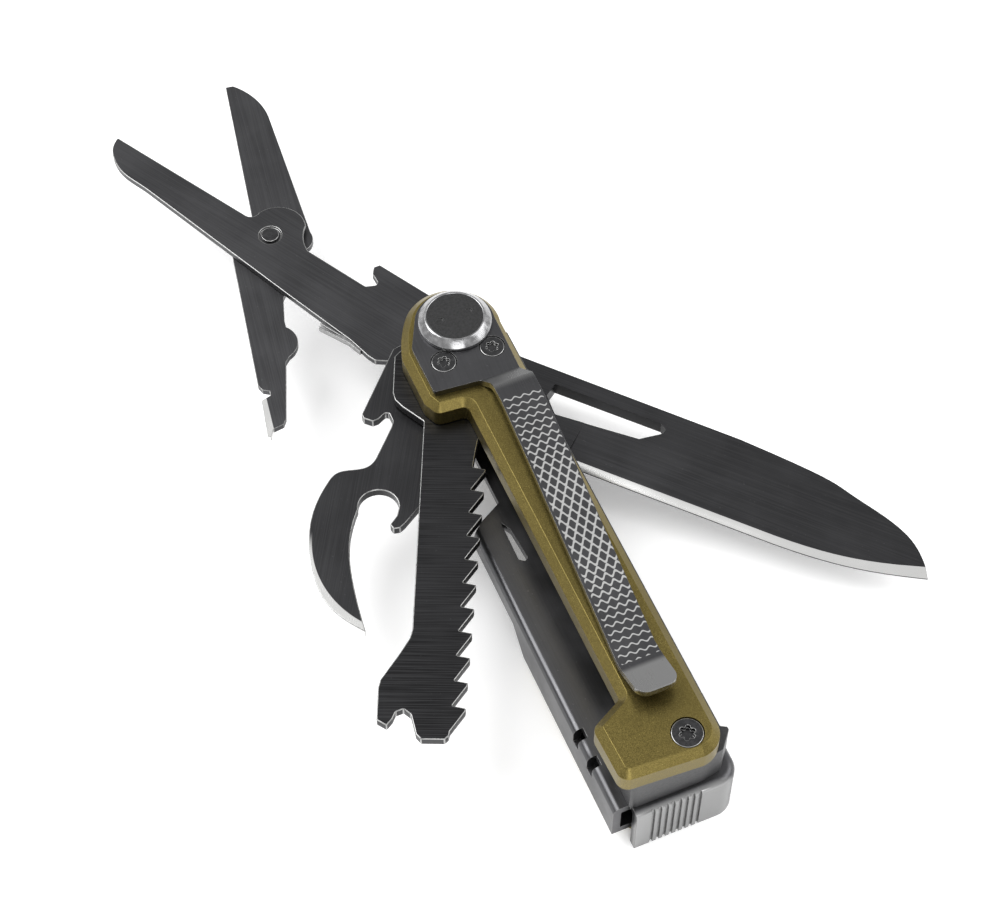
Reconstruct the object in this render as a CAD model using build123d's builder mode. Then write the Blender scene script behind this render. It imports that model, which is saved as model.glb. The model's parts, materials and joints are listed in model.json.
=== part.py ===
from build123d import *
import math
import os

os.makedirs("parts", exist_ok=True)

# Folding multi tool, mm. +Z is up. The origin is on the pivot axis, at the resting face.
# The handle runs along -Y from the pivot to the ribbed butt, and +X is its right side.

# Heights of the layers, from the resting face up
BACK_SCALE_T = 2.9
SHEET = 1.4
CHANNEL_H = 4.6
BAY_H = 6.6
FRONT_SCALE_T = 4.2
CLIP_T = 1.2
Z_CHANNEL = BACK_SCALE_T + SHEET
Z_TOP_PLATE = Z_CHANNEL + CHANNEL_H
Z_BAY = Z_TOP_PLATE + SHEET
Z_FRONT = Z_BAY + BAY_H
Z_CLIP = Z_FRONT + FRONT_SCALE_T
Z_CAP = Z_CLIP + CLIP_T

# Plan of the handle
LEFT = -9.5
RIGHT = 9.3
BUTT = -82.9
BUTT_INNER = -81.5
PLATE_END = -80.8
TAB_LEFT = -6.8
HEAD_R = 8.6
BAR_LEFT = -3.8
GOLD_RIGHT = 7.3
GOLD_FOOT = -82.2
WALL_T = 1.3

# Pivot and tools
BARREL_R = 3.0
RUNNING = 0.05
BORE_R = BARREL_R + RUNNING
TANG_R = 7.5
GAP = 0.05
BLADE_T = 2.5
ARM_T = 1.2
LEVER_T = 1.1
TOOL_T = 1.6
WASHER_T = 0.2
Z_LEVER = Z_BAY + 0.2
Z_ARM = Z_BAY + 1.4
Z_OPENER = Z_ARM + ARM_T + WASHER_T + 2 * GAP
Z_SAW = Z_OPENER + TOOL_T + WASHER_T + 2 * GAP
Z_BLADE = Z_CHANNEL + (CHANNEL_H - BLADE_T) / 2

# Directions of the opened tools, in degrees from +X
KNIFE_ANGLE = -48
SAW_ANGLE = -114
OPENER_ANGLE = -120
SCISSORS_ANGLE = 120
LEVER_ANGLE = 81
SCISSORS_RIVET = (39.9, -1.8)
RIVET_R = 1.25
RIVET_SEAT = 0.3


def tool_plane(angle, z, x=0.0, y=0.0):
    """Plane of a tool whose local X points along angle, at height z."""
    turn = math.radians(angle)
    return Plane(origin=(x, y, z), x_dir=(math.cos(turn), math.sin(turn), 0), z_dir=(0, 0, 1))


def keep(piece, name):
    """Name a finished piece and write it to its own file."""
    piece.part.label = name
    export_step(piece.part, f"parts/{name}.step")


# Frame: one folded sheet. Bottom plate, spine wall, top plate with the lock slot, hammer tab.
WALL_END = -30.0
WALL_STEP = -48.0
SHORT_WALL_Z = 6.5
NOTCH_Z = 7.4
STRIP_LEFT = -3.9
OPEN_LEFT = -0.5

with BuildPart() as frame:
    with BuildSketch(Plane.XY.offset(Z_TOP_PLATE)):
        with BuildLine():
            Polyline(
                (RIGHT, 0), (RIGHT, PLATE_END), (6.6, BUTT), (TAB_LEFT, BUTT), (TAB_LEFT, PLATE_END),
                (LEFT, PLATE_END), (LEFT, WALL_END), (-7.3, -28.3), (STRIP_LEFT, -26.4), (STRIP_LEFT, 0),
                close=True,
            )
        make_face()
        Circle(HEAD_R)
        with BuildLine():
            Polyline((-5.0, -29.9), (-4.1, -31.7), (-3.7, -37.2), (-4.3, -37.6), (-5.1, -37.0), close=True)
        make_face(mode=Mode.SUBTRACT)
    extrude(amount=SHEET)
    with BuildSketch(Plane.XY.offset(BACK_SCALE_T)):
        with BuildLine():
            Polyline(
                (RIGHT, 0), (RIGHT, -76.0), (8.0, -76.6), (8.0, PLATE_END), (LEFT, PLATE_END),
                (LEFT, WALL_STEP - 1), (-6.0, WALL_STEP + 2), (OPEN_LEFT, WALL_STEP + 4), (OPEN_LEFT, 0),
                close=True,
            )
        make_face()
        Circle(HEAD_R)
    extrude(amount=SHEET)
    # Spine wall: full height at the butt, low towards the pivot
    with BuildSketch(Plane.YZ.offset(LEFT)):
        with BuildLine():
            Polyline(
                (PLATE_END, BACK_SCALE_T), (WALL_STEP - 1, BACK_SCALE_T), (WALL_STEP + 3, SHORT_WALL_Z),
                (WALL_END, SHORT_WALL_Z), (WALL_END, Z_BAY), (PLATE_END, Z_BAY), close=True,
            )
        make_face()
    extrude(amount=WALL_T)
    bend = frame.edges().filter_by(Axis.Y).group_by(Axis.Z)[-1].sort_by(Axis.X)[0]
    fillet(bend, 1.1)
    # Two relief notches in the bend
    with BuildSketch(Plane.XY.offset(NOTCH_Z)):
        with Locations((LEFT, -67.8), (LEFT, -72.6)):
            Rectangle(3.0, 1.7)
    extrude(amount=Z_BAY - NOTCH_Z, mode=Mode.SUBTRACT)
    # Hammer tab bent down from the top plate, with a window in its right side that the blade swings through
    with BuildSketch(Plane.XY):
        with BuildLine():
            Line((TAB_LEFT, BUTT_INNER), (TAB_LEFT, BUTT))
            Line((TAB_LEFT, BUTT), (6.6, BUTT))
            RadiusArc((6.6, BUTT), (9.9, BUTT + 3.3), -3.3)
            Line((9.9, BUTT + 3.3), (9.9, -76.6))
            Line((9.9, -76.6), (8.5, -76.6))
            Line((8.5, -76.6), (8.5, BUTT_INNER + 1.9))
            RadiusArc((8.5, BUTT_INNER + 1.9), (6.6, BUTT_INNER), 1.9)
            Line((6.6, BUTT_INNER), (TAB_LEFT, BUTT_INNER))
        make_face()
    extrude(amount=Z_BAY)
    top_rim = frame.faces().sort_by(Axis.Z)[-1].edges().filter_by(lambda e: e.center().Y < BUTT + 0.6)
    fillet(top_rim, 1.2)
    with BuildSketch(Plane.XY.offset(Z_CHANNEL)):
        with Locations((9.3, -78.2)):
            Rectangle(2.4, 5.0)
    extrude(amount=CHANNEL_H, mode=Mode.SUBTRACT)
    # Vertical ribs on the hammer face
    RIBS = 8
    RIB_PITCH = 1.05
    with BuildSketch(Plane.XY):
        for rib in range(RIBS):
            with Locations((-4.1 + rib * RIB_PITCH, BUTT)):
                Rectangle(0.45, 0.7)
    extrude(amount=Z_BAY, mode=Mode.SUBTRACT)
    with BuildSketch(Plane.XY):
        Circle(BARREL_R)
    extrude(amount=Z_BAY, mode=Mode.SUBTRACT)
    # Holes: foot screw and dowels in the top plate, screws in the bottom plate
    FOOT_SCREW = (2.5, -78.4)
    FOOT_PINS = ((-4.2, -79.4), (6.6, -76.0))
    BACK_SCREWS = ((0.0, -76.0), (4.5, -40.0), (4.5, -14.0))
    SHANK_R = 1.1
    PIN_R = 0.9
    with BuildSketch(Plane.XY.offset(Z_TOP_PLATE)):
        with Locations(FOOT_SCREW):
            Circle(SHANK_R)
        with Locations(*FOOT_PINS):
            Circle(PIN_R)
    extrude(amount=SHEET, mode=Mode.SUBTRACT)
    with BuildSketch(Plane.XY.offset(BACK_SCALE_T)):
        with Locations(*BACK_SCREWS):
            Circle(SHANK_R)
    extrude(amount=SHEET, mode=Mode.SUBTRACT)
keep(frame, "frame")

# Back scale: plate on the resting side, cut away on the left like the sheet above it
SCREW_HEAD_R = 2.0
BOLT_HEAD_R = 4.2
with BuildPart() as back_scale:
    with BuildSketch(Plane.XY):
        with BuildLine():
            Polyline(
                (8.7, 0), (8.7, -76.0), (8.0, -76.8), (8.0, -79.4), (6.2, -80.6), (-5.6, -80.6),
                (-8.8, -77.4), (-8.8, WALL_STEP - 1.5),
                (-6.0, WALL_STEP + 0.5), (OPEN_LEFT, WALL_STEP + 3.4), (OPEN_LEFT, 0), close=True,
            )
        make_face()
        Circle(HEAD_R - 0.4)
    extrude(amount=BACK_SCALE_T)
    chamfer(back_scale.faces().sort_by(Axis.Z)[0].edges().filter_by(Axis.Z, reverse=True), 0.7)
    with BuildSketch(Plane.XY):
        Circle(BOLT_HEAD_R + RUNNING)
        with Locations(*BACK_SCREWS):
            Circle(SHANK_R)
    extrude(amount=BACK_SCALE_T, mode=Mode.SUBTRACT)
    with BuildSketch(Plane.XY):
        with Locations(*BACK_SCREWS):
            Circle(SCREW_HEAD_R + RUNNING)
    extrude(amount=1.3, mode=Mode.SUBTRACT)
keep(back_scale, "back_scale")

# Front scale: round head, narrow bar and square foot
CHAMFER = 1.2
HEAD_LEFT = -9.7
HEAD_FOOT = -13.9
CLIP_SCREWS = ((-4.5, -6.4), (3.5, -6.6))
FOOT_HEAD_R = 2.4
with BuildPart() as front_scale:
    with BuildSketch(Plane.XY.offset(Z_FRONT)):
        with BuildLine():
            Line((GOLD_RIGHT, -1.0), (GOLD_RIGHT, -78.2))
            RadiusArc((GOLD_RIGHT, -78.2), (3.3, GOLD_FOOT), 4.0)
            FilletPolyline(
                (3.3, GOLD_FOOT), (-8.9, GOLD_FOOT + 0.8), (-9.2, -72.2), (BAR_LEFT, -69.4),
                (BAR_LEFT, HEAD_FOOT - 0.1), (-8.6, HEAD_FOOT + 0.3), (HEAD_LEFT, -11.0), (HEAD_LEFT, -2.0),
                radius=(1.8, 1.6, 0.8, 1.0, 1.4, 1.4),
            )
            ThreePointArc((HEAD_LEFT, -2.0), (-8.6, 1.2), (-6.6, 4.8))
            ThreePointArc((-6.6, 4.8), (0.4, 8.3), (GOLD_RIGHT, -1.0))
        make_face()
    extrude(amount=FRONT_SCALE_T)
    chamfer(front_scale.faces().sort_by(Axis.Z)[-1].edges(), CHAMFER)
    with BuildSketch(Plane.XY.offset(Z_FRONT)):
        Circle(BARREL_R)
        with Locations(FOOT_SCREW):
            Circle(SHANK_R)
    extrude(amount=FRONT_SCALE_T, mode=Mode.SUBTRACT)
    with BuildSketch(Plane.XY.offset(Z_CLIP - 1.3)):
        with Locations(FOOT_SCREW):
            Circle(FOOT_HEAD_R + RUNNING)
    extrude(amount=1.3, mode=Mode.SUBTRACT)
    with BuildSketch(Plane.XY.offset(Z_CLIP - 3.4)):
        with Locations(*CLIP_SCREWS):
            Circle(SHANK_R)
    extrude(amount=3.4, mode=Mode.SUBTRACT)
    with BuildSketch(Plane.XY.offset(Z_FRONT)):
        with Locations(*FOOT_PINS):
            Circle(PIN_R)
    extrude(amount=1.5, mode=Mode.SUBTRACT)
keep(front_scale, "front_scale")

# Back spacer: strip on the right, above the level that the scissors lever passes at
SPACER_LEFT = 7.9
SPACER_RIGHT = 8.4
with BuildPart() as back_spacer:
    with BuildSketch(Plane.XY.offset(Z_ARM)):
        with BuildLine():
            Polyline(
                (SPACER_LEFT, -71.5), (SPACER_RIGHT, -71.5), (SPACER_RIGHT, -1.2), (SPACER_LEFT, -0.9),
                close=True,
            )
        make_face()
    extrude(amount=Z_FRONT - Z_ARM)
keep(back_spacer, "back_spacer")

# Foot block: spacer between the frame's top plate and the foot of the front scale
with BuildPart() as foot_block:
    with BuildSketch(Plane.XY.offset(Z_BAY)):
        with BuildLine():
            Polyline(
                (SPACER_RIGHT, -71.5), (SPACER_RIGHT, -77.4), (RIGHT, -77.9), (RIGHT, -78.4), (7.2, -80.9), (4.0, -81.5), (-6.2, -81.5),
                (-7.2, -81.0), (-7.2, -76.3), (2.6, -76.3), (3.6, -71.5), close=True,
            )
        make_face()
        with Locations(FOOT_SCREW):
            Circle(SHANK_R, mode=Mode.SUBTRACT)
        with Locations(*FOOT_PINS):
            Circle(PIN_R, mode=Mode.SUBTRACT)
    extrude(amount=BAY_H)
keep(foot_block, "foot_block")

with BuildPart() as foot_pins:
    with BuildSketch(Plane.XY.offset(Z_TOP_PLATE)):
        with Locations(*FOOT_PINS):
            Circle(PIN_R)
    extrude(amount=Z_FRONT - Z_TOP_PLATE + 1.4)
keep(foot_pins, "foot_pins")


# Pocket clip: base on the scale, joggle, arm that leans left, upturned lip
CLIP_RISE = 1.4
with BuildPart() as pocket_clip:
    with BuildSketch(Plane.YZ.offset(-9)):
        with BuildLine():
            centre = FilletPolyline(
                (8.0, Z_CLIP + CLIP_T / 2), (-12.0, Z_CLIP + CLIP_T / 2),
                (-14.8, Z_CLIP + CLIP_T / 2 + CLIP_RISE), (-30.0, Z_CLIP + CLIP_T / 2 + CLIP_RISE),
                (-65.6, Z_CLIP + CLIP_T / 2 + 0.4), (-72.3, Z_CLIP + CLIP_T / 2 + 2.6),
                radius=(1.6, 1.6, 40.0, 9.0),
            )
            offset(centre, amount=CLIP_T / 2, side=Side.BOTH)
        make_face()
    extrude(amount=18)
    with BuildSketch(Plane.XY.offset(Z_CLIP)) as clip_plan:
        with BuildLine():
            ThreePointArc((6.1, -1.2), (0.3, 6.2), (-5.3, 3.4))
            FilletPolyline(
                (-5.3, 3.4), (-8.1, -2.2), (-8.1, -11.2), (-0.7, -11.9), (0.3, -13.6), (0.3, -18.0),
                (-2.4, -66.0), (-2.1, -72.4), (4.2, -72.4), (4.1, -64.0), (6.9, -18.0), (6.9, -14.4),
                (5.8, -12.2), (6.1, -1.2),
                radius=(1.5, 0.7, 1.0, 1.0, 3.0, 3.0, 1.9, 1.9, 3.0, 3.0, 0.8, 0.8),
            )
        make_face()
    extrude(amount=8, mode=Mode.INTERSECT)
    with BuildSketch(Plane.XY.offset(Z_CLIP)):
        Circle(BARREL_R)
        with Locations(*CLIP_SCREWS):
            Circle(SHANK_R)
    extrude(amount=CLIP_T, mode=Mode.SUBTRACT)
    with BuildSketch(Plane.XY.offset(Z_CLIP + 0.5)):
        with Locations(*CLIP_SCREWS):
            Circle(SCREW_HEAD_R + RUNNING)
    extrude(amount=CLIP_T, mode=Mode.SUBTRACT)
keep(pocket_clip, "pocket_clip")


def screws(places, z_seat, head_h, head_r, length, up=1):
    """Cap screws with a six-lobe recess. The head stands on z_seat, the shank goes the other way."""
    with BuildPart() as group:
        with BuildSketch(Plane.XY.offset(z_seat)):
            with Locations(*places):
                Circle(head_r)
        extrude(amount=up * head_h)
        chamfer(group.faces().filter_by(Axis.Z).group_by(Axis.Z)[-1 if up > 0 else 0].edges(), 0.15)
        with BuildSketch(Plane.XY.offset(z_seat)):
            with Locations(*places):
                Circle(SHANK_R)
        extrude(amount=-up * length)
        with BuildSketch(Plane.XY.offset(z_seat + up * head_h)):
            for place in places:
                with Locations(place):
                    Circle(head_r * 0.36)
                    with PolarLocations(head_r * 0.36, 6):
                        Circle(head_r * 0.15)
        extrude(amount=-up * head_h * 0.7, mode=Mode.SUBTRACT)
    return group


clip_screws = screws(CLIP_SCREWS, Z_CLIP + 0.5, 0.65, SCREW_HEAD_R, 3.6)
keep(clip_screws, "clip_screws")
scale_screw = screws((FOOT_SCREW,), Z_CLIP - 1.3, 1.15, FOOT_HEAD_R, Z_CLIP - 1.3 - Z_TOP_PLATE)
keep(scale_screw, "scale_screw")
back_screws = screws(BACK_SCREWS, 1.3, 1.1, SCREW_HEAD_R, 2.9, up=-1)
keep(back_screws, "back_screws")

# Pivot: hollow barrel, bolt from below, polished cap from above
BOLT_R = 1.8
CAP_R = 5.8
DISC_R = 4.4
CAP_H = 1.7
with BuildPart() as pivot_barrel:
    with BuildSketch(Plane.XY.offset(BACK_SCALE_T)):
        Circle(BARREL_R)
        Circle(BOLT_R, mode=Mode.SUBTRACT)
    extrude(amount=Z_CAP - BACK_SCALE_T)
keep(pivot_barrel, "pivot_barrel")

with BuildPart() as pivot_back_bolt:
    with BuildSketch(Plane.XY.offset(0.3)):
        Circle(BOLT_HEAD_R)
    extrude(amount=BACK_SCALE_T - 0.3)
    chamfer(pivot_back_bolt.faces().sort_by(Axis.Z)[0].edges(), 0.3)
    with BuildSketch(Plane.XY.offset(BACK_SCALE_T)):
        Circle(BOLT_R)
    extrude(amount=8)
    with BuildSketch(Plane.XY.offset(0.3)):
        Circle(1.5)
        with PolarLocations(1.5, 6):
            Circle(0.6)
    extrude(amount=1.2, mode=Mode.SUBTRACT)
keep(pivot_back_bolt, "pivot_back_bolt")

with BuildPart() as pivot_cap:
    with BuildSketch(Plane.XY.offset(Z_CAP)):
        Circle(CAP_R)
    extrude(amount=CAP_H)
    chamfer(pivot_cap.faces().sort_by(Axis.Z)[-1].edges(), 1.1)
    with BuildSketch(Plane.XY.offset(Z_CAP)):
        Circle(BOLT_R)
    extrude(amount=-7)
    with BuildSketch(Plane.XY.offset(Z_CAP + CAP_H - 0.5)):
        Circle(DISC_R)
    extrude(amount=0.5, mode=Mode.SUBTRACT)
keep(pivot_cap, "pivot_cap")

with BuildPart() as pivot_cap_insert:
    with BuildSketch(Plane.XY.offset(Z_CAP + CAP_H - 0.5)):
        Circle(DISC_R)
    extrude(amount=0.4)
    with BuildSketch(Plane.XY.offset(Z_CAP + CAP_H - 0.3)):
        with Locations((-2.4, 0), (2.4, 0)):
            Circle(0.55)
    extrude(amount=0.3, mode=Mode.SUBTRACT)
keep(pivot_cap_insert, "pivot_cap_insert")


# Washers on the barrel, between the layers
def washer(name, radius, z_low, z_high):
    """Flat washer round the barrel."""
    with BuildPart() as ring:
        with BuildSketch(Plane.XY.offset(z_low)):
            Circle(radius)
            Circle(BARREL_R, mode=Mode.SUBTRACT)
        extrude(amount=z_high - z_low)
    keep(ring, name)


washer("blade_washer_lower", 6.0, Z_CHANNEL, Z_BLADE - GAP)
washer("blade_washer_upper", 6.0, Z_BLADE + BLADE_T + GAP, Z_TOP_PLATE)
washer("scissors_washer", 4.0, Z_BAY, Z_ARM - GAP)
washer("scissors_opener_washer", 5.5, Z_ARM + ARM_T + GAP, Z_OPENER - GAP)
washer("opener_saw_washer", 5.5, Z_OPENER + TOOL_T + GAP, Z_SAW - GAP)
washer("saw_scale_washer", 5.5, Z_SAW + TOOL_T + GAP, Z_FRONT)

# Knife blade: straight spine, curved belly, long thumb slot
EDGE = -7.6
SPINE = 8.2
GRIND_LINE = 1.8
EDGE_BEVEL = 2.0
with BuildPart() as knife_blade:
    with BuildSketch(tool_plane(KNIFE_ANGLE, Z_BLADE)):
        with BuildLine():
            ThreePointArc((0, SPINE), (-7.7, 0.3), (0, -7.4))
            Polyline((0, -7.4), (21.0, -6.9), (22.2, EDGE + 0.9), (23.4, EDGE), (54, EDGE))
            Spline((54, EDGE), (70, -6.5), (81.2, -3.6), tangents=((1, 0), (1, 0.32)))
            Spline((81.2, -3.6), (76.9, 1.2), (67, 4.9), (46, 7.8), tangents=((-0.5, 0.75), (-1, 0.06)))
            Line((46, 7.8), (0, SPINE))
        make_face()
        with BuildLine():
            Polyline(
                (15.0, 5.4), (33.4, 5.4), (34.6, 4.6), (34.4, 3.7), (31.4, 1.2), (17.4, 0.0),
                (14.7, 2.8), close=True,
            )
        make_face(mode=Mode.SUBTRACT)
        Circle(BORE_R, mode=Mode.SUBTRACT)
    extrude(amount=BLADE_T)
    half = BLADE_T / 2
    # Edge bevel on both faces, round the belly to the tip
    knife_plane = tool_plane(KNIFE_ANGLE, 0)
    for face in (knife_blade.faces().sort_by(Axis.Z)[-1], knife_blade.faces().sort_by(Axis.Z)[0]):
        long_edges = face.edges().filter_by(lambda e: e.length > 25)
        sharp = long_edges.filter_by(lambda e: knife_plane.to_local_coords(e @ 0.5).Y < -5.2)
        chamfer(sharp, EDGE_BEVEL, half - 0.1, reference=face)
    # Flat grind on both faces, from the grind line down to the edge bevel
    turn = math.radians(KNIFE_ANGLE)
    along = Vector(math.cos(turn), math.sin(turn), 0)
    across = Vector(-math.sin(turn), math.cos(turn), 0)
    grind_plane = Plane(origin=along * 22.2 + Vector(0, 0, Z_BLADE + BLADE_T / 2), x_dir=across, z_dir=along)
    with BuildSketch(grind_plane):
        for side in (1, -1):
            with BuildLine():
                Polyline(
                    (GRIND_LINE, side * half), (EDGE - 1, side * 0.62),
                    (EDGE - 1, side * (half + 0.5)), (GRIND_LINE, side * (half + 0.5)), close=True,
                )
            make_face()
    extrude(amount=62, mode=Mode.SUBTRACT)
keep(knife_blade, "knife_blade")

# Saw: raked teeth inside, screwdriver and cap lifter at the end
SAW_TEETH = 11
SAW_PITCH = 4.11
TOOTH_H = 2.0
with BuildPart() as saw:
    with BuildSketch(tool_plane(SAW_ANGLE, Z_SAW)):
        with BuildLine():
            teeth = []
            for tooth in range(SAW_TEETH):
                gullet = 23.4 + tooth * SAW_PITCH
                root = 3.25 - 0.052 * tooth * SAW_PITCH
                tip = root + TOOTH_H
                teeth += [(gullet, root), (gullet + 0.4, tip), (gullet + 0.9, tip - 0.1)]
            Polyline((4.4, 6.1), (20.5, 3.6), *teeth, (68.6, 0.9), (69.3, 0.8), (69.9, 0.2))
            Polyline(
                (69.9, 0.2), (69.9, -3.2), (69.1, -3.9), (66.0, -4.7), (65.1, -5.8), (65.6, -6.9),
                (66.7, -7.3), (67.8, -8.1), (66.9, -9.6), (61.9, -9.6), (60.4, -9.3), (55.9, -6.6),
                (53.4, -5.3), (52.0, -5.0), (15.0, -4.5), (12.2, -8.0), (11.0, -9.1), (9.6, -9.5),
                (2.6, -9.5), (1.6, -8.7), (0, -TANG_R),
            )
            ThreePointArc((0, -TANG_R), (-TANG_R, 0), (4.4, 6.1))
        make_face()
        Circle(BORE_R, mode=Mode.SUBTRACT)
    extrude(amount=TOOL_T)
keep(saw, "saw")

# Opener: tang with a small driver lug, hooked can-opener blade and a cap-lifter claw
with BuildPart() as opener:
    with BuildSketch(tool_plane(OPENER_ANGLE, Z_OPENER)):
        with BuildLine():
            Polyline(
                (0, -TANG_R), (-0.1, -8.9), (0.8, -9.9), (13.9, -12.9), (14.6, -12.5), (15.0, -11.0),
                (14.5, -10.2), (13.2, -9.3), (13.2, -8.7), (14.6, -7.9), (15.8, -8.0), (21.0, -9.3),
            )
            Spline((21.0, -9.3), (23.5, -10.6), (24.9, -14.6), (26.4, -15.9), tangents=((1, -0.2), (1, -0.5)))
            Spline((26.4, -15.9), (35.0, -17.6), (44.4, -15.3), (52.4, -6.4), tangents=((1, -0.4), (0.4, 1)))
            Spline((52.4, -6.4), (43.8, -9.7), (36.0, -11.2), (31.4, -10.8), tangents=((-0.9, -0.4), (-1, 0.2)))
            ThreePointArc((31.4, -10.8), (27.5, -7.9), (30.3, -4.7))
            Polyline((30.3, -4.7), (31.8, -4.8), (33.5, -5.6), (34.2, -5.0), (33.9, -4.0), (33.1, -3.4))
            Polyline((33.1, -3.4), (25.0, 1.0), (12.0, 3.0), (4.4, 6.1))
            ThreePointArc((4.4, 6.1), (-TANG_R, 0), (0, -TANG_R))
        make_face()
        Circle(BORE_R, mode=Mode.SUBTRACT)
    extrude(amount=TOOL_T)
keep(opener, "opener")

# Scissors: the arm that turns on the pivot, and its blade
with BuildPart() as scissors_arm:
    with BuildSketch(tool_plane(SCISSORS_ANGLE, Z_ARM)):
        with BuildLine():
            Line((74.4, -2.7), (45.8, -2.6))
            ThreePointArc((45.8, -2.6), (44.9, -3.0), (44.5, -4.4))
            ThreePointArc((44.5, -4.4), (40.6, -8.2), (36.5, -6.9))
            ThreePointArc((36.5, -6.9), (34.6, -4.1), (32.8, -2.95))
            Polyline(
                (32.8, -2.95), (20.6, -2.8), (19.4, -4.0), (19.5, -4.6), (21.2, -5.4), (22.0, -6.7),
                (21.5, -7.7), (11.0, -7.6), (2.0, -7.3),
            )
            ThreePointArc((2.0, -7.3), (-TANG_R, 0), (4.4, 6.1))
            Polyline((4.4, 6.1), (8.3, 6.9), (10.0, 8.0), (11.4, 8.0), (15.7, 7.2), (29.1, 6.1), (62.5, 3.0))
            Spline((62.5, 3.0), (69.3, 2.4), (73.0, 0.2), (74.4, -2.7), tangents=((1, -0.09), (0.2, -1)))
        make_face()
        Circle(BORE_R, mode=Mode.SUBTRACT)
        with Locations(SCISSORS_RIVET):
            Circle(RIVET_R, mode=Mode.SUBTRACT)
    extrude(amount=ARM_T)
    with BuildSketch(tool_plane(SCISSORS_ANGLE, Z_ARM + ARM_T - RIVET_SEAT)):
        with Locations(SCISSORS_RIVET):
            Circle(RIVET_R + 0.6)
    extrude(amount=RIVET_SEAT, mode=Mode.SUBTRACT)
keep(scissors_arm, "scissors_arm")

# Spring: two thin leaves that leave the arm's edge
with BuildPart() as scissors_spring:
    with BuildSketch(tool_plane(SCISSORS_ANGLE, Z_ARM + 0.1)):
        with BuildLine():
            Polyline(
                (13.0, 7.706), (15.7, 7.2), (17.0, 7.094), (21.7, 7.2), (21.7, 7.5), (17.6, 7.45),
                (21.5, 7.95), (21.4, 8.25), (15.6, 7.75), (13.1, 8.05), close=True,
            )
        make_face()
    extrude(amount=1.0)
keep(scissors_spring, "scissors_spring")

arm_plane = tool_plane(SCISSORS_ANGLE, 0)
rivet_at = arm_plane.from_local_coords(Vector(*SCISSORS_RIVET, 0))

with BuildPart() as scissors_rivet:
    with BuildSketch(Plane.XY.offset(Z_LEVER)):
        with Locations((rivet_at.X, rivet_at.Y)):
            Circle(RIVET_R)
    extrude(amount=Z_ARM + ARM_T - Z_LEVER)
    with BuildSketch(Plane.XY.offset(Z_ARM + ARM_T - RIVET_SEAT)):
        with Locations((rivet_at.X, rivet_at.Y)):
            Circle(RIVET_R + 0.2)
    extrude(amount=RIVET_SEAT + 0.15)
keep(scissors_rivet, "scissors_rivet")

# Scissors lever: second blade, thumb part with a bump, and a ground pry tip
with BuildPart() as scissors_lever:
    with BuildSketch(tool_plane(LEVER_ANGLE, Z_LEVER, rivet_at.X, rivet_at.Y)):
        with BuildLine():
            Line((2.0, 2.2), (35.5, 1.0))
            Line((35.5, 1.0), (35.5, -0.3))
            ThreePointArc((35.5, -0.3), (31.2, -3.75), (26.1, -5.0))
            Line((26.1, -5.0), (0, -6.7))
            ThreePointArc((0, -6.7), (-2.3, -6.5), (-3.6, -4.8))
            Polyline((-3.6, -4.8), (-12.5, 0.4), (-17.0, 1.1), (-18.4, 1.1))
            ThreePointArc((-18.4, 1.1), (-21.6, -0.2), (-24.3, 1.7))
            Polyline(
                (-24.3, 1.7), (-25.3, 2.5), (-36.0, 4.6), (-37.1, 5.2), (-37.6, 6.9), (-39.0, 7.6),
                (-38.8, 8.1), (-31.8, 7.7), (-31.1, 6.1), (-30.3, 6.1), (-29.8, 7.2), (-28.7, 7.7),
                (-2.0, 6.8), (2.0, 2.2),
            )
        make_face()
        Circle(RIVET_R + RUNNING, mode=Mode.SUBTRACT)
    extrude(amount=LEVER_T)
keep(scissors_lever, "scissors_lever")
print("rivet at", round(rivet_at.X, 3), round(rivet_at.Y, 3))
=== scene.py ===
"""Looks of a folding multi tool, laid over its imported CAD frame. Lengths are in metres."""

import json
import math

import bmesh
import bpy
from bpy.props import FloatProperty, FloatVectorProperty, PointerProperty
from bpy.types import Operator, Panel, PropertyGroup
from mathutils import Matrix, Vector

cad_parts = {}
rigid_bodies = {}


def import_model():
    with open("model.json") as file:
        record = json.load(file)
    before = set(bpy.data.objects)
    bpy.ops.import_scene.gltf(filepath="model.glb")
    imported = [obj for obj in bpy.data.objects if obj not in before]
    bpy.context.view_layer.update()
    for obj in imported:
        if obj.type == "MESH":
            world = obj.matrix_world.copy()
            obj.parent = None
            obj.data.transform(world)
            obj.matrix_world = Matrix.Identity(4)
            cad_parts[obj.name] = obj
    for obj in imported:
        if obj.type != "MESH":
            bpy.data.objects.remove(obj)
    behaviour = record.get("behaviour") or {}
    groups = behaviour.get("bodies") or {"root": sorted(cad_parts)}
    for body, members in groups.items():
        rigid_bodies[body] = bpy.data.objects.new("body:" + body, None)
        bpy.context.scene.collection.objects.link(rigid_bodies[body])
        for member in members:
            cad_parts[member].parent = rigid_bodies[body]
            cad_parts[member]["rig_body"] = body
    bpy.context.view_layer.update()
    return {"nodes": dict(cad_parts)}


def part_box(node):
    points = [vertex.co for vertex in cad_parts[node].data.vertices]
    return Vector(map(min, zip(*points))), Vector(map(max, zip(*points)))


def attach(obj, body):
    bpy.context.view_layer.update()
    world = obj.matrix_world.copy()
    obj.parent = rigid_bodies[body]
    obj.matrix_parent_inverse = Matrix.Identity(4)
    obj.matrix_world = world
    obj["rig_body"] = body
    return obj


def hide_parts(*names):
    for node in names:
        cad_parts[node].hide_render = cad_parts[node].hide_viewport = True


bl_info = {
    "name": "Folding multi tool",
    "version": (1, 0, 0),
    "blender": (4, 5, 0),
    "location": "View3D > Sidebar > Multi Tool",
    "description": "Edges, finishes and studio of a folding multi tool",
    "category": "Object",
}

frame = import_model()

MM = 0.001
WHITE = (1.0, 1.0, 1.0, 1.0)

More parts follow.
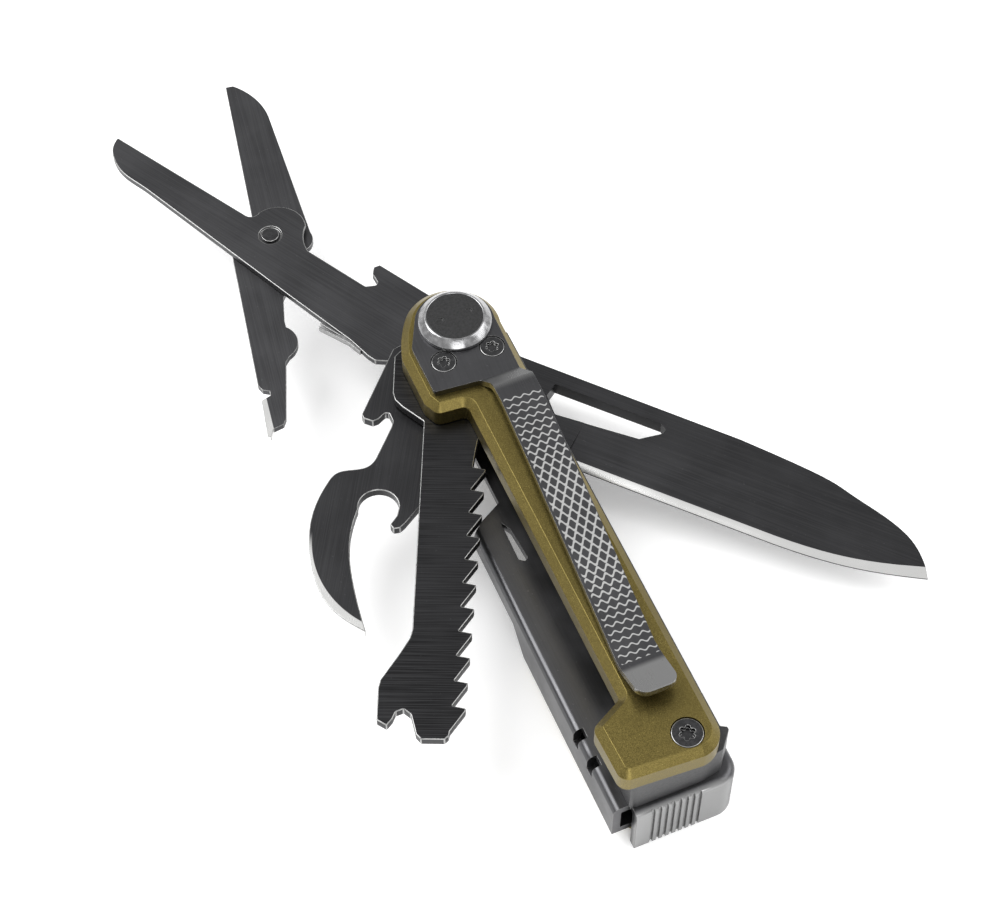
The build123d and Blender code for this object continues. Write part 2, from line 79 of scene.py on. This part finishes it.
# Directions in which the opened tools point, in degrees from +X, as in the CAD
KNIFE_ANGLE = -48.0
SAW_ANGLE = -114.0
OPENER_ANGLE = -120.0
SCISSORS_ANGLE = 120.0
LEVER_ANGLE = 81.0

# Directions of the brushing on the handle's steel
SHEET_BRUSHING = -90.0
CLIP_BRUSHING = -92.9

# Sockets of a colour Mix node, whose names are shared with its other types
MIX_FIRST, MIX_SECOND, MIX_RESULT = 6, 7, 2

# Most values of a noise texture lie between these
NOISE_LOW, NOISE_HIGH = 0.3, 0.7

# Width over which a mask of bare steel fades, to each side
FADE = 0.05 * MM

# Bare steel on the knife: upward part of the bevel's normals, and where the bevel lies
BEVEL_SLOPE = (0.75, 0.95)
SLOPE_FADE = 0.02
BEVEL_START = 22.5 * MM
BEVEL_SIDE = 1.0 * MM

# Bare steel on the opener: the arc of the belly and where the band starts
BELLY_CENTRE = (35.6 * MM, -0.2 * MM)
BELLY_RADIUS = 16.75 * MM
BELLY_START = 38.0 * MM

# Bare steel on the scissors lever: the corner of the pry end, from the rivet
PRY_END = -31.6 * MM
PRY_SIDE = 6.9 * MM

# Bare steel on the hammer tab
HAMMER_START = -82.3 * MM
HAMMER_SHINE = 0.27

# The clip's own axis, and its etching along it: the waves, their rows and mid clip
CLIP_ANGLE = -3.0
CLIP_ORIGIN = (3.6 * MM, -18.0 * MM, 0.0)
WAVE_LENGTH = 1.5 * MM
ROW_PITCH = 2.6 * MM
MID_CLIP = -22.7 * MM
ETCH_HALF_WIDTH = 3.0 * MM

# Swing and half width of an etched line, in rows: at mid clip, then towards the ends,
# and the distances from mid clip between which they change
SWING = (0.18, 0.08)
SWING_REACH = (3.0 * MM, 24.0 * MM)
LINE = (0.1, 0.045)
LINE_REACH = (4.0 * MM, 22.0 * MM)
LINE_FADE = 0.012

# Along the part's Y: the etching's ends, and the lip and the joggle, which get a painted
# highlight
ETCH_START = -17.5 * MM
ETCH_END = -66.0 * MM
ETCH_SHINE = 0.85
LIP_START = -67.2 * MM
LIP_PAINTED_HIGHLIGHT = 0.3
JOGGLE_START = -12.3 * MM
JOGGLE_END = -15.0 * MM
JOGGLE_PAINTED_HIGHLIGHT = 0.16

# Upward part of the normals on the clip's flat top, at least
TOP_SLOPE = 0.8

# Clean-up of a copied CAD mesh, and its edge break
MERGE_DISTANCE = 0.002 * MM
FLAT_ANGLE = math.radians(0.6)
SHARP_ANGLE = math.radians(32)
NORMAL_WEIGHT = 90

# Edge break of each piece, as a share of the setting, where it isn't 1
EDGE_SHARE = {
    "frame": 1.6,
    "pocket_clip": 1.2,
    "pivot_cap_insert": 0.6,
    "clip_screws": 0.8,
    "scale_screw": 0.8,
    "back_screws": 0.8,
    "scissors_rivet": 0.8,
    "knife_blade": 0.5,
    "scissors_spring": 0.5,
}

# Floor: half its side, its cells along a side, its drop under the part and its own light
FLOOR_REACH = 1.5
FLOOR_CELLS = 8
FLOOR_DROP = 0.02 * MM
FLOOR_GLOW = 0.22

# Even light from all round
WORLD_STRENGTH = 0.75

# Name, place, side in metres and power in watts
LIGHTS = (
    ("key_softbox", (-0.45, 0.35, 0.75), 0.6, 7.0),
    ("fill_softbox", (0.7, -0.25, 0.6), 0.7, 4.0),
    ("front_softbox", (-0.2, -0.9, 0.5), 0.5, 3.0),
)


# ---------------------------------------------------------------- settings


class StageSettings(PropertyGroup):
    """Studio round the tool."""

    azimuth: FloatProperty(
        name="Azimuth", description="Turn of the camera round the tool",
        default=math.radians(-23.2), subtype="ANGLE",
    )
    elevation: FloatProperty(
        name="Elevation", description="Height of the camera over the floor",
        default=math.radians(55.5), subtype="ANGLE",
    )
    distance: FloatProperty(
        name="Distance", description="From the camera to its target",
        default=0.3871, unit="LENGTH",
    )
    target: FloatVectorProperty(
        name="Target", description="Point on the floor that the camera looks at",
        size=3, default=(0.00295, -0.01099, 0.0), subtype="TRANSLATION",
    )
    lens: FloatProperty(name="Lens", description="Focal length in millimetres", default=86.4)
    floor: FloatVectorProperty(
        name="Floor", description="Colour of the floor",
        size=3, default=(0.93, 0.93, 0.93), subtype="COLOR",
    )


class FinishSettings(PropertyGroup):
    """Colours of the finishes."""

    gold: FloatVectorProperty(
        name="Gold", description="Blasted and anodised scales",
        size=3, default=(0.165, 0.13, 0.042), subtype="COLOR",
    )
    coating: FloatVectorProperty(
        name="Coating", description="Black coating on the tools, frame and clip",
        size=3, default=(0.045, 0.045, 0.047), subtype="COLOR",
    )
    ground: FloatVectorProperty(
        name="Ground steel", description="Bare steel of ground edges",
        size=3, default=(0.78, 0.78, 0.77), subtype="COLOR",
    )


class EdgeSettings(PropertyGroup):
    """Softening of the edges."""

    thin: FloatProperty(
        name="Thin parts", description="Edge break on the other bevelled pieces",
        default=0.00014, unit="LENGTH",
    )
    thick: FloatProperty(
        name="Thick parts", description="Edge break on the scales",
        default=0.00055, unit="LENGTH",
    )


# ---------------------------------------------------------------- node helpers


class Nodes:
    """A material's node tree, with short calls for the nodes used here."""

    def __init__(self, name):
        self.material = bpy.data.materials.new(name)
        self.material.use_nodes = True
        self.tree = self.material.node_tree
        self.shader = self.tree.nodes["Principled BSDF"]

    def add(self, kind, **settings):
        node = self.tree.nodes.new(kind)
        for key, value in settings.items():
            setattr(node, key, value)
        return node

    def link(self, source, target):
        self.tree.links.new(source, target)

    def put(self, target, value):
        if isinstance(value, bpy.types.NodeSocket):
            self.link(value, target)
        else:
            target.default_value = value

    def math(self, operation, a, b=0.0):
        node = self.add("ShaderNodeMath", operation=operation)
        self.put(node.inputs[0], a)
        self.put(node.inputs[1], b)
        return node.outputs[0]

    def length(self, a, b):
        """Distance of the point (a, b) from zero."""
        squares = [self.math("MULTIPLY", value, value) for value in (a, b)]
        return self.math("SQRT", self.math("ADD", *squares))

    def along(self, angle=0.0, stretch=(1.0, 1.0, 1.0), origin=(0.0, 0.0, 0.0)):
        """Object coordinates in a tool's own frame: X along it, Y across."""
        coordinates = self.add("ShaderNodeTexCoord").outputs["Object"]
        shift = self.add("ShaderNodeVectorMath", operation="SUBTRACT")
        self.link(coordinates, shift.inputs[0])
        shift.inputs[1].default_value = origin
        turn = self.add("ShaderNodeVectorRotate", rotation_type="Z_AXIS")
        self.link(shift.outputs[0], turn.inputs["Vector"])
        turn.inputs["Angle"].default_value = -math.radians(angle)
        scale = self.add("ShaderNodeVectorMath", operation="MULTIPLY")
        self.link(turn.outputs[0], scale.inputs[0])
        scale.inputs[1].default_value = stretch
        return scale.outputs[0]

    def split(self, vector):
        node = self.add("ShaderNodeSeparateXYZ")
        self.link(vector, node.inputs[0])
        return node.outputs

    def upward(self, normal):
        """Upward part of one of the surface's normals."""
        return self.split(self.add("ShaderNodeNewGeometry").outputs[normal])[2]

    def noise(self, vector, scale, detail=3.0, rough=0.55):
        node = self.add("ShaderNodeTexNoise")
        self.link(vector, node.inputs["Vector"])
        node.inputs["Scale"].default_value = scale
        node.inputs["Detail"].default_value = detail
        node.inputs["Roughness"].default_value = rough
        return node.outputs["Fac"]

    def remap(self, value, low, high, to_low=0.0, to_high=1.0):
        node = self.add("ShaderNodeMapRange", interpolation_type="SMOOTHSTEP")
        self.link(value, node.inputs["Value"])
        node.inputs["From Min"].default_value = low
        node.inputs["From Max"].default_value = high
        node.inputs["To Min"].default_value = to_low
        node.inputs["To Max"].default_value = to_high
        return node.outputs["Result"]

    def spread(self, noise, to_low=0.0, to_high=1.0):
        """A noise's usual values, spread over a range."""
        return self.remap(noise, NOISE_LOW, NOISE_HIGH, to_low, to_high)

    def mix(self, factor, first, second):
        node = self.add("ShaderNodeMix", data_type="RGBA")
        self.put(node.inputs["Factor"], factor)
        self.put(node.inputs[MIX_FIRST], first)
        self.put(node.inputs[MIX_SECOND], second)
        return node.outputs[MIX_RESULT]

    def bump(self, height, strength, depth):
        node = self.add("ShaderNodeBump")
        node.inputs["Strength"].default_value = strength
        node.inputs["Distance"].default_value = depth
        self.link(height, node.inputs["Height"])
        self.link(node.outputs["Normal"], self.shader.inputs["Normal"])

    def surface(self, colour, roughness, metallic=1.0):
        self.put(self.shader.inputs["Base Color"], colour)
        self.put(self.shader.inputs["Roughness"], roughness)
        self.shader.inputs["Metallic"].default_value = metallic


def rgba(colour, shade=1.0):
    return (colour[0] * shade, colour[1] * shade, colour[2] * shade, 1.0)


# ---------------------------------------------------------------- finishes


def blasted_gold(finish):
    """Anodised aluminium with a fine blasted grain and sparkle."""
    n = Nodes("blasted_gold")
    place = n.along()
    grain = n.noise(place, scale=7500.0, detail=2.0, rough=0.7)
    cloud = n.noise(place, scale=160.0)
    base = n.mix(n.remap(grain, 0.38, 0.62), rgba(finish.gold, 0.72), rgba(finish.gold, 1.3))
    base = n.mix(n.remap(grain, 0.64, 0.74, to_high=0.7), base, rgba(finish.gold, 3.0))
    colour = n.mix(n.spread(cloud, to_high=0.35), base, rgba(finish.gold, 0.8))
    n.surface(colour, n.spread(grain, 0.3, 0.46))
    n.bump(grain, strength=0.3, depth=0.05 * MM)
    return n.material


def coated_steel(name, finish, angle, rough, shade=1.0, bright=None, brush=0.14):
    """Black coated steel, brushed along or across. bright(nodes) masks bare ground steel, and on
    the clip also painted highlights.
    """
    n = Nodes(name)
    place = n.along(angle)
    brushed = n.noise(n.along(angle, (60.0, 5200.0, 60.0)), scale=1.0, rough=0.6)
    smudge = n.noise(place, scale=90.0, detail=4.0)
    fleck = n.noise(place, scale=2400.0, detail=2.0)
    low, high = shade * (1.0 - 0.8 * brush), shade * (1.0 + 0.8 * brush)
    lines = n.remap(brushed, 0.36, 0.64)
    colour = n.mix(lines, rgba(finish.coating, low), rgba(finish.coating, high))
    smudged = n.remap(smudge, 0.35, 0.7, to_high=0.4)
    colour = n.mix(smudged, colour, rgba(finish.coating, 1.15 * shade))
    flecked = n.remap(fleck, 0.66, 0.8, to_high=0.4)
    colour = n.mix(flecked, colour, rgba(finish.coating, 2.2 * shade))
    roughness = n.spread(smudge, rough - 0.05, rough + 0.08)
    roughness = n.math("ADD", roughness, n.math("MULTIPLY", brushed, 0.08))
    if bright is not None:
        mask = bright(n)
        colour = n.mix(mask, colour, rgba(finish.ground))
        smoothing = n.math("SUBTRACT", 1.0, n.math("MULTIPLY", mask, 0.35))
        roughness = n.math("MULTIPLY", roughness, smoothing)
    n.surface(colour, roughness)
    height = n.math("ADD", n.math("MULTIPLY", brushed, brush), n.math("MULTIPLY", fleck, 0.35))
    n.bump(height, strength=0.25, depth=0.03 * MM)
    return n.material


def plain_steel(name, colour, rough):
    """Turned or rolled metal with fine marks."""
    n = Nodes(name)
    marks = n.noise(n.along(), scale=1500.0)
    tone = n.mix(n.spread(marks), rgba(colour, 0.85), rgba(colour, 1.12))
    n.surface(tone, n.spread(marks, rough - 0.05, rough + 0.06))
    n.bump(marks, strength=0.15, depth=0.02 * MM)
    return n.material


def worn_and_highlit_edge(name, brightness):
    """Light steel on the broken edges: in part coating that is worn or ground through, in part a
    painted highlight of the edges.
    """
    return plain_steel(name, (brightness, brightness, brightness * 0.99), rough=0.3)


def turned_ring():
    """Polished dark steel with concentric tool marks round the pivot."""
    n = Nodes("turned_ring")
    place = n.along()
    x, y = n.split(place)[:2]
    rings = n.math("SINE", n.math("MULTIPLY", n.length(x, y), 42000.0))
    marks = n.noise(place, scale=900.0)
    tone = n.mix(n.spread(marks), (0.24, 0.24, 0.245, 1.0), (0.38, 0.38, 0.385, 1.0))
    n.surface(tone, n.spread(marks, 0.16, 0.26))
    n.bump(rings, strength=0.12, depth=0.02 * MM)
    return n.material


def matte_black(name, colour, rough):
    """Moulded or blackened part with a fine even grain."""
    n = Nodes(name)
    grain = n.noise(n.along(), scale=3000.0, detail=2.0)
    tone = n.mix(n.spread(grain), rgba(colour, 0.8), rgba(colour, 1.25))
    n.surface(tone, n.spread(grain, rough - 0.06, rough + 0.06), metallic=0.0)
    n.bump(grain, strength=0.3, depth=0.04 * MM)
    return n.material


# Masks of bare ground steel, and on the clip also of painted highlights: each takes a material's
# nodes and gives 0 to 1


def below(n, value, limit, fade=FADE):
    return n.remap(value, limit - fade, limit + fade, 1.0, 0.0)


def above(n, value, limit, fade=FADE):
    return n.remap(value, limit - fade, limit + fade)


def both(n, a, b):
    return n.math("MULTIPLY", a, b)


def knife_bright(n):
    """Edge bevel: the faces that slope more than the flat grind."""
    x, y = n.split(n.along(KNIFE_ANGLE))[:2]
    slope = n.math("ABSOLUTE", n.upward("True Normal"))
    steep, flat = BEVEL_SLOPE
    bevel = both(n, above(n, slope, steep, SLOPE_FADE), below(n, slope, flat, SLOPE_FADE))
    return both(n, bevel, both(n, above(n, x, BEVEL_START), below(n, y, BEVEL_SIDE)))


def opener_bright(n):
    """Ground band along the belly of the hook, towards its tip."""
    x, y = n.split(n.along(OPENER_ANGLE))[:2]
    dx = n.math("SUBTRACT", x, BELLY_CENTRE[0])
    dy = n.math("SUBTRACT", y, BELLY_CENTRE[1])
    outer = above(n, n.length(dx, dy), BELLY_RADIUS)
    return both(n, outer, above(n, x, BELLY_START, fade=2.0 * MM))


def lever_bright(n):
    """Ground tip of the pry end."""
    low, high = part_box("scissors_rivet")
    centre = (low + high) / 2
    x, y = n.split(n.along(LEVER_ANGLE, origin=(centre.x, centre.y, 0.0)))[:2]
    return both(n, below(n, x, PRY_END), above(n, y, PRY_SIDE))


def hammer_bright(n):
    """Bare steel of the hammer tab."""
    y = n.split(n.along())[1]
    return n.math("MULTIPLY", below(n, y, HAMMER_START, fade=0.4 * MM), HAMMER_SHINE)


def etched_rows(n, x, y):
    """Rows of waves, each the mirror of the next, that swell into a lattice in mid clip."""
    wave = n.math("SINE", n.math("MULTIPLY", x, 2 * math.pi / WAVE_LENGTH))
    apart = n.math("ABSOLUTE", n.math("SUBTRACT", y, MID_CLIP))
    swing = n.remap(apart, *SWING_REACH, *SWING)
    half_width = n.remap(apart, *LINE_REACH, *LINE)
    shift = n.math("MULTIPLY", wave, swing)
    step = n.math("DIVIDE", y, ROW_PITCH)
    rows = []
    for sign, start_row in ((1.0, 100.0), (-1.0, 100.5)):
        row = n.math("ADD", step, n.math("MULTIPLY", shift, sign))
        phase = n.math("FRACT", n.math("ADD", row, start_row))
        off = n.math("ABSOLUTE", n.math("SUBTRACT", phase, 0.5))
        rows.append(below(n, n.math("SUBTRACT", off, half_width), 0.0, LINE_FADE))
    return n.math("MAXIMUM", *rows)


def clip_etching_and_painted_highlights(n):
    """Etched pattern on the clip's flat top, with painted highlights on the lip and the joggle.
    """
    x, y = n.split(n.along(CLIP_ANGLE, origin=CLIP_ORIGIN))[:2]
    part_y = n.split(n.along())[1]
    inside = both(n, below(n, part_y, ETCH_START), above(n, part_y, ETCH_END))
    middle = below(n, n.math("ABSOLUTE", x), ETCH_HALF_WIDTH)
    top = both(n, middle, above(n, n.upward("Normal"), TOP_SLOPE))
    etched = both(n, both(n, etched_rows(n, x, y), inside), top)
    # Painted highlights: the lip and the joggle are lightened towards bare steel to stand for the
    # light they reflect
    lip = below(n, part_y, LIP_START, fade=0.6 * MM)
    joggle = below(n, part_y, JOGGLE_START, fade=0.5 * MM)
    joggle = both(n, joggle, above(n, part_y, JOGGLE_END, fade=0.7 * MM))
    painted_highlight = n.math("MULTIPLY", lip, LIP_PAINTED_HIGHLIGHT)
    painted_highlight = n.math("MAXIMUM", painted_highlight, n.math("MULTIPLY", joggle, JOGGLE_PAINTED_HIGHLIGHT))
    return n.math("MAXIMUM", n.math("MULTIPLY", etched, ETCH_SHINE), painted_highlight)


# ---------------------------------------------------------------- pieces


def softened(name, width, material, segments=2, edge_wear_and_highlight=None):
    """A copy of a CAD node with clean faces and broken edges, which stands for the node.
    The last argument is the material of the broken edges, where it isn't the piece's own: lighter
    steel for wear of the coating and a painted edge highlight."""
    source = frame["nodes"][name]
    mesh = source.data.copy()
    form = bmesh.new()
    form.from_mesh(mesh)
    bmesh.ops.remove_doubles(form, verts=form.verts, dist=MERGE_DISTANCE)
    bmesh.ops.dissolve_limit(
        form, angle_limit=FLAT_ANGLE, verts=form.verts, edges=form.edges, delimit={"NORMAL"}
    )
    form.to_mesh(mesh)
    form.free()
    mesh.materials.clear()
    mesh.materials.append(material)
    if edge_wear_and_highlight:
        mesh.materials.append(edge_wear_and_highlight)
    mesh.polygons.foreach_set("use_smooth", [True] * len(mesh.polygons))
    piece = bpy.data.objects.new(name + "_finished", mesh)
    bpy.context.scene.collection.objects.link(piece)
    bevel = piece.modifiers.new("edge_break", "BEVEL")
    bevel.width = width * EDGE_SHARE.get(name, 1.0)
    bevel.segments = segments
    bevel.limit_method = "ANGLE"
    bevel.angle_limit = SHARP_ANGLE
    bevel.use_clamp_overlap = True
    bevel.miter_outer = "MITER_ARC"
    bevel.material = 1 if edge_wear_and_highlight else -1
    normals = piece.modifiers.new("face_normals", "WEIGHTED_NORMAL")
    normals.keep_sharp = False
    normals.weight = NORMAL_WEIGHT
    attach(piece, source["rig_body"])
    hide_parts(name)
    return piece


def finish_node(name, material):
    """Give a CAD node its finish. Its shape stays."""
    node = frame["nodes"][name]
    node.data.materials.clear()
    node.data.materials.append(material)


class MULTITOOL_OT_scales(Operator):
    """Front and back scales of blasted gold aluminium"""

    bl_idname = "multitool.scales"
    bl_label = "Scales"

    def execute(self, context):
        finish = context.scene.multitool_finish
        edges = context.scene.multitool_edges
        gold = blasted_gold(finish)
        softened("front_scale", edges.thick, gold, segments=4)
        softened("back_scale", edges.thick, gold, segments=4)
        return {"FINISHED"}


class MULTITOOL_OT_frame(Operator):
    """Folded sheet frame with its hammer tab, the spacer and the foot block"""

    bl_idname = "multitool.frame"
    bl_label = "Frame"

    def execute(self, context):
        finish = context.scene.multitool_finish
        edges = context.scene.multitool_edges
        sheet = coated_steel(
            "satin_sheet", finish, SHEET_BRUSHING,
            rough=0.32, shade=2.0, bright=hammer_bright, brush=0.05,
        )
        # Lighter broken edges: wear of the coating and a painted edge highlight
        edge_wear_and_highlight = worn_and_highlit_edge("sheet_edge", 0.14)
        softened("frame", edges.thin, sheet, edge_wear_and_highlight=edge_wear_and_highlight)
        black = matte_black("black_spacer", (0.022, 0.022, 0.023), rough=0.42)
        softened("back_spacer", edges.thin, black)
        softened("foot_block", edges.thin, black)
        return {"FINISHED"}


class MULTITOOL_OT_clip(Operator):
    """Sprung clip with an etched pattern of waves"""

    bl_idname = "multitool.clip"
    bl_label = "Pocket clip"

    def execute(self, context):
        finish = context.scene.multitool_finish
        edges = context.scene.multitool_edges
        # Its mask adds painted highlights on the lip and the joggle to the etched pattern
        steel = coated_steel(
            "clip_steel", finish, CLIP_BRUSHING,
            rough=0.27, shade=1.7, bright=clip_etching_and_painted_highlights, brush=0.05,
        )
        # Lighter broken edges: wear of the coating and a painted edge highlight
        edge_wear_and_highlight = worn_and_highlit_edge("clip_edge", 0.22)
        softened("pocket_clip", edges.thin, steel, edge_wear_and_highlight=edge_wear_and_highlight)
        return {"FINISHED"}


class MULTITOOL_OT_pivot(Operator):
    """Pivot barrel, cap, insert, back bolt and washers"""

    bl_idname = "multitool.pivot"
    bl_label = "Pivot"

    def execute(self, context):
        edges = context.scene.multitool_edges
        ring = turned_ring()
        softened("pivot_cap", edges.thin, ring)
        softened("pivot_back_bolt", edges.thin, ring)
        disc = matte_black("dark_disc", (0.012, 0.012, 0.0125), rough=0.3)
        softened("pivot_cap_insert", edges.thin, disc)
        bright = plain_steel("bright_steel", (0.5, 0.5, 0.5), rough=0.32)
        for name in (
            "pivot_barrel", "scissors_washer", "scissors_opener_washer",
            "opener_saw_washer", "saw_scale_washer",
        ):
            finish_node(name, bright)
        bronze = plain_steel("washer_bronze", (0.5, 0.36, 0.18), rough=0.38)
        for name in ("blade_washer_lower", "blade_washer_upper"):
            finish_node(name, bronze)
        return {"FINISHED"}


class MULTITOOL_OT_fasteners(Operator):
    """Screws, rivet and dowels"""

    bl_idname = "multitool.fasteners"
    bl_label = "Fasteners"

    def execute(self, context):
        edges = context.scene.multitool_edges
        steel = plain_steel("screw_steel", (0.06, 0.06, 0.062), rough=0.28)
        # Bright rims on the screw heads and recess edges: wear and a painted highlight of the rim
        rim_wear_and_highlight = worn_and_highlit_edge("screw_rim", 0.4)
        for name in ("clip_screws", "scale_screw", "back_screws", "scissors_rivet"):
            softened(name, edges.thin, steel, edge_wear_and_highlight=rim_wear_and_highlight)
        finish_node("foot_pins", plain_steel("dowel_steel", (0.5, 0.5, 0.5), rough=0.34))
        return {"FINISHED"}


class MULTITOOL_OT_knife(Operator):
    """Coated knife blade with a bare ground edge"""

    bl_idname = "multitool.knife"
    bl_label = "Knife"

    def execute(self, context):
        finish = context.scene.multitool_finish
        edges = context.scene.multitool_edges
        steel = coated_steel("knife_steel", finish, KNIFE_ANGLE, rough=0.32, bright=knife_bright)
        softened("knife_blade", edges.thin, steel, segments=1)
        return {"FINISHED"}


class MULTITOOL_OT_tools(Operator):
    """Saw and can opener"""

    bl_idname = "multitool.tools"
    bl_label = "Saw and opener"

    def execute(self, context):
        finish = context.scene.multitool_finish
        edges = context.scene.multitool_edges
        across = SAW_ANGLE - 90.0
        saw = coated_steel("saw_steel", finish, across, rough=0.34, shade=0.65, brush=0.5)
        # Lighter broken edges: wear of the coating and a painted edge highlight
        edge_wear_and_highlight = worn_and_highlit_edge("tool_edge", 0.34)
        softened("saw", edges.thin, saw, edge_wear_and_highlight=edge_wear_and_highlight)
        opener = coated_steel(
            "opener_steel", finish, OPENER_ANGLE, rough=0.34, shade=0.95, bright=opener_bright
        )
        softened("opener", edges.thin, opener, edge_wear_and_highlight=edge_wear_and_highlight)
        return {"FINISHED"}


class MULTITOOL_OT_scissors(Operator):
    """Scissors arm, lever and spring"""

    bl_idname = "multitool.scissors"
    bl_label = "Scissors"

    def execute(self, context):
        finish = context.scene.multitool_finish
        edges = context.scene.multitool_edges
        # Lighter broken edges: wear of the coating and a painted edge highlight
        edge_wear_and_highlight = worn_and_highlit_edge("scissors_edge", 0.3)
        arm = coated_steel("arm_steel", finish, SCISSORS_ANGLE, rough=0.34, shade=1.35)
        softened("scissors_arm", edges.thin, arm, edge_wear_and_highlight=edge_wear_and_highlight)
        lever = coated_steel(
            "lever_steel", finish, LEVER_ANGLE, rough=0.34, shade=1.45, bright=lever_bright
        )
        softened("scissors_lever", edges.thin, lever, edge_wear_and_highlight=edge_wear_and_highlight)
        spring = plain_steel("spring_steel", (0.3, 0.3, 0.3), rough=0.3)
        softened("scissors_spring", edges.thin, spring, segments=1)
        return {"FINISHED"}


class MULTITOOL_OT_stage(Operator):
    """Pale floor, soft lights and camera"""

    bl_idname = "multitool.stage"
    bl_label = "Stage"

    def execute(self, context):
        stage = context.scene.multitool_stage
        form = bmesh.new()
        bmesh.ops.create_grid(
            form, x_segments=FLOOR_CELLS, y_segments=FLOOR_CELLS, size=FLOOR_REACH
        )
        mesh = bpy.data.meshes.new("floor")
        form.to_mesh(mesh)
        form.free()
        n = Nodes("floor_paper")
        paper = n.noise(n.along(), scale=900.0, detail=2.0)
        tone = n.mix(paper, rgba(stage.floor, 0.995), rgba(stage.floor))
        n.surface(tone, roughness=0.9, metallic=0.0)
        n.shader.inputs["Specular IOR Level"].default_value = 0.1
        n.shader.inputs["Emission Color"].default_value = WHITE
        n.shader.inputs["Emission Strength"].default_value = FLOOR_GLOW
        mesh.materials.append(n.material)
        floor = bpy.data.objects.new("floor", mesh)
        floor.location.z = -FLOOR_DROP
        context.scene.collection.objects.link(floor)

        world = bpy.data.worlds.new("studio")
        world.use_nodes = True
        background = world.node_tree.nodes["Background"]
        background.inputs["Color"].default_value = WHITE
        background.inputs["Strength"].default_value = WORLD_STRENGTH
        context.scene.world = world

        for name, place, size, power in LIGHTS:
            light = bpy.data.lights.new(name, "AREA")
            light.size = size
            light.energy = power
            lamp = bpy.data.objects.new(name, light)
            lamp.location = place
            lamp.rotation_euler = (-Vector(place)).to_track_quat("-Z", "Y").to_euler()
            context.scene.collection.objects.link(lamp)

        lens = bpy.data.cameras.new("camera")
        lens.lens = stage.lens
        lens.sensor_width = 36.0
        lens.clip_start = 0.01
        camera = bpy.data.objects.new("camera", lens)
        flat = stage.distance * math.cos(stage.elevation)
        height = stage.distance * math.sin(stage.elevation)
        offset = Vector((flat * math.sin(stage.azimuth), -flat * math.cos(stage.azimuth), height))
        camera.location = Vector(stage.target) + offset
        camera.rotation_euler = (-offset).to_track_quat("-Z", "Y").to_euler()
        context.scene.collection.objects.link(camera)
        context.scene.camera = camera
        context.scene.view_settings.view_transform = "Standard"
        return {"FINISHED"}


OPERATORS = (
    MULTITOOL_OT_stage,
    MULTITOOL_OT_scales,
    MULTITOOL_OT_frame,
    MULTITOOL_OT_clip,
    MULTITOOL_OT_pivot,
    MULTITOOL_OT_fasteners,
    MULTITOOL_OT_knife,
    MULTITOOL_OT_tools,
    MULTITOOL_OT_scissors,
)


class MULTITOOL_PT_panel(Panel):
    """Steps and settings of the multi tool"""

    bl_label = "Multi Tool"
    bl_idname = "MULTITOOL_PT_panel"
    bl_space_type = "VIEW_3D"
    bl_region_type = "UI"
    bl_category = "Multi Tool"

    def draw(self, context):
        for step in OPERATORS:
            self.layout.operator(step.bl_idname)
        scene = context.scene
        for group in (scene.multitool_finish, scene.multitool_edges, scene.multitool_stage):
            for key in group.__annotations__:
                self.layout.prop(group, key)


CLASSES = (StageSettings, FinishSettings, EdgeSettings) + OPERATORS + (MULTITOOL_PT_panel,)


def register():
    for cls in CLASSES:
        bpy.utils.register_class(cls)
    bpy.types.Scene.multitool_stage = PointerProperty(type=StageSettings)
    bpy.types.Scene.multitool_finish = PointerProperty(type=FinishSettings)
    bpy.types.Scene.multitool_edges = PointerProperty(type=EdgeSettings)


def unregister():
    del bpy.types.Scene.multitool_edges
    del bpy.types.Scene.multitool_finish
    del bpy.types.Scene.multitool_stage
    for cls in reversed(CLASSES):
        bpy.utils.unregister_class(cls)


def main():
    register()
    for step in OPERATORS:
        group, name = step.bl_idname.split(".")
        getattr(getattr(bpy.ops, group), name)()


if __name__ == "__main__":
    main()
